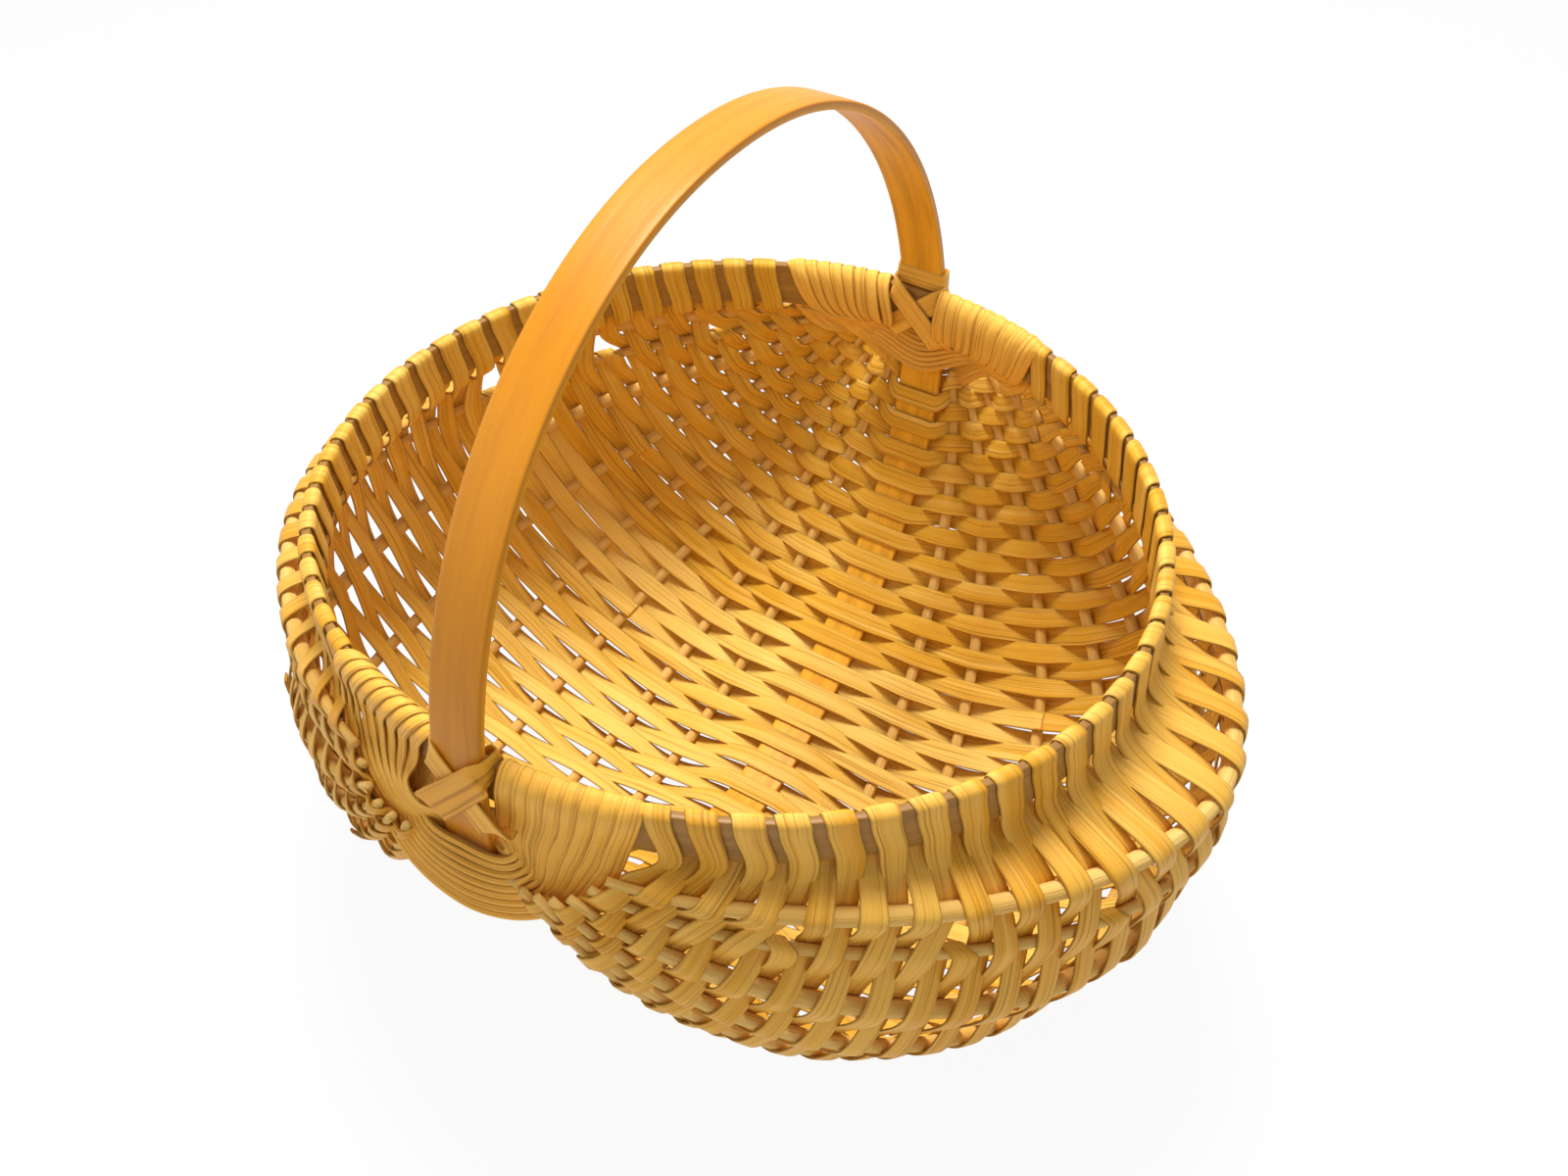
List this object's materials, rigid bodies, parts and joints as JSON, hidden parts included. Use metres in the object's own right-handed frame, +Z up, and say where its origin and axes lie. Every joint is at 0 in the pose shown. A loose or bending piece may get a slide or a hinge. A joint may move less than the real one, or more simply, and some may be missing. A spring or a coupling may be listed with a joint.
{
  "type": "ribbed basket",
  "caption": "Ribbed basket with two round lobes, woven of flat reed over round ribs on two crossed wooden hoops, one forming the handle and keel, the other the rim.",
  "frame": {"origin": "middle of the basket's footprint at the level of the floor", "axes": "+Z up, Y along the plane of the handle from the front ear at -Y to the back ear at +Y, X across the two lobes"},
  "size_m": [0.3904, 0.3105, 0.3267],
  "materials": {
    "hoop_wood": "smooth bent hardwood, oiled, darker on its inner face",
    "rib_reed": "natural round reed, matt",
    "weaver_reed": "natural flat reed with fine lengthwise grain, satin",
    "lash_reed": "natural flat reed with fine lengthwise grain, satin"
  },
  "bodies": {
    "root": {"back_cross_lash_inner": "lash_reed", "back_cross_lash_outer": "lash_reed", "back_ear_weaver": "lash_reed", "back_handle_band": "lash_reed", "front_cross_lash_inner": "lash_reed", "front_cross_lash_outer": "lash_reed", "front_ear_weaver": "lash_reed", "front_handle_band": "lash_reed", "handle_hoop": "hoop_wood", "left_rib_1": "rib_reed", "left_rib_2": "rib_reed", "left_rib_3": "rib_reed", "left_rib_4": "rib_reed", "left_rib_5": "rib_reed", "left_rib_6": "rib_reed", "left_rib_7": "rib_reed", "left_rib_8": "rib_reed", "right_rib_1": "rib_reed", "right_rib_2": "rib_reed", "right_rib_3": "rib_reed", "right_rib_4": "rib_reed", "right_rib_5": "rib_reed", "right_rib_6": "rib_reed", "right_rib_7": "rib_reed", "right_rib_8": "rib_reed", "rim_hoop": "hoop_wood", "weaver_01": "weaver_reed", "weaver_02": "weaver_reed", "weaver_03": "weaver_reed", "weaver_04": "weaver_reed", "weaver_05": "weaver_reed", "weaver_06": "weaver_reed", "weaver_07": "weaver_reed", "weaver_08": "weaver_reed", "weaver_09": "weaver_reed", "weaver_10": "weaver_reed", "weaver_11": "weaver_reed", "weaver_12": "weaver_reed", "weaver_13": "weaver_reed", "weaver_14": "weaver_reed", "weaver_15": "weaver_reed", "weaver_16": "weaver_reed"}
  },
  "joints": []
}
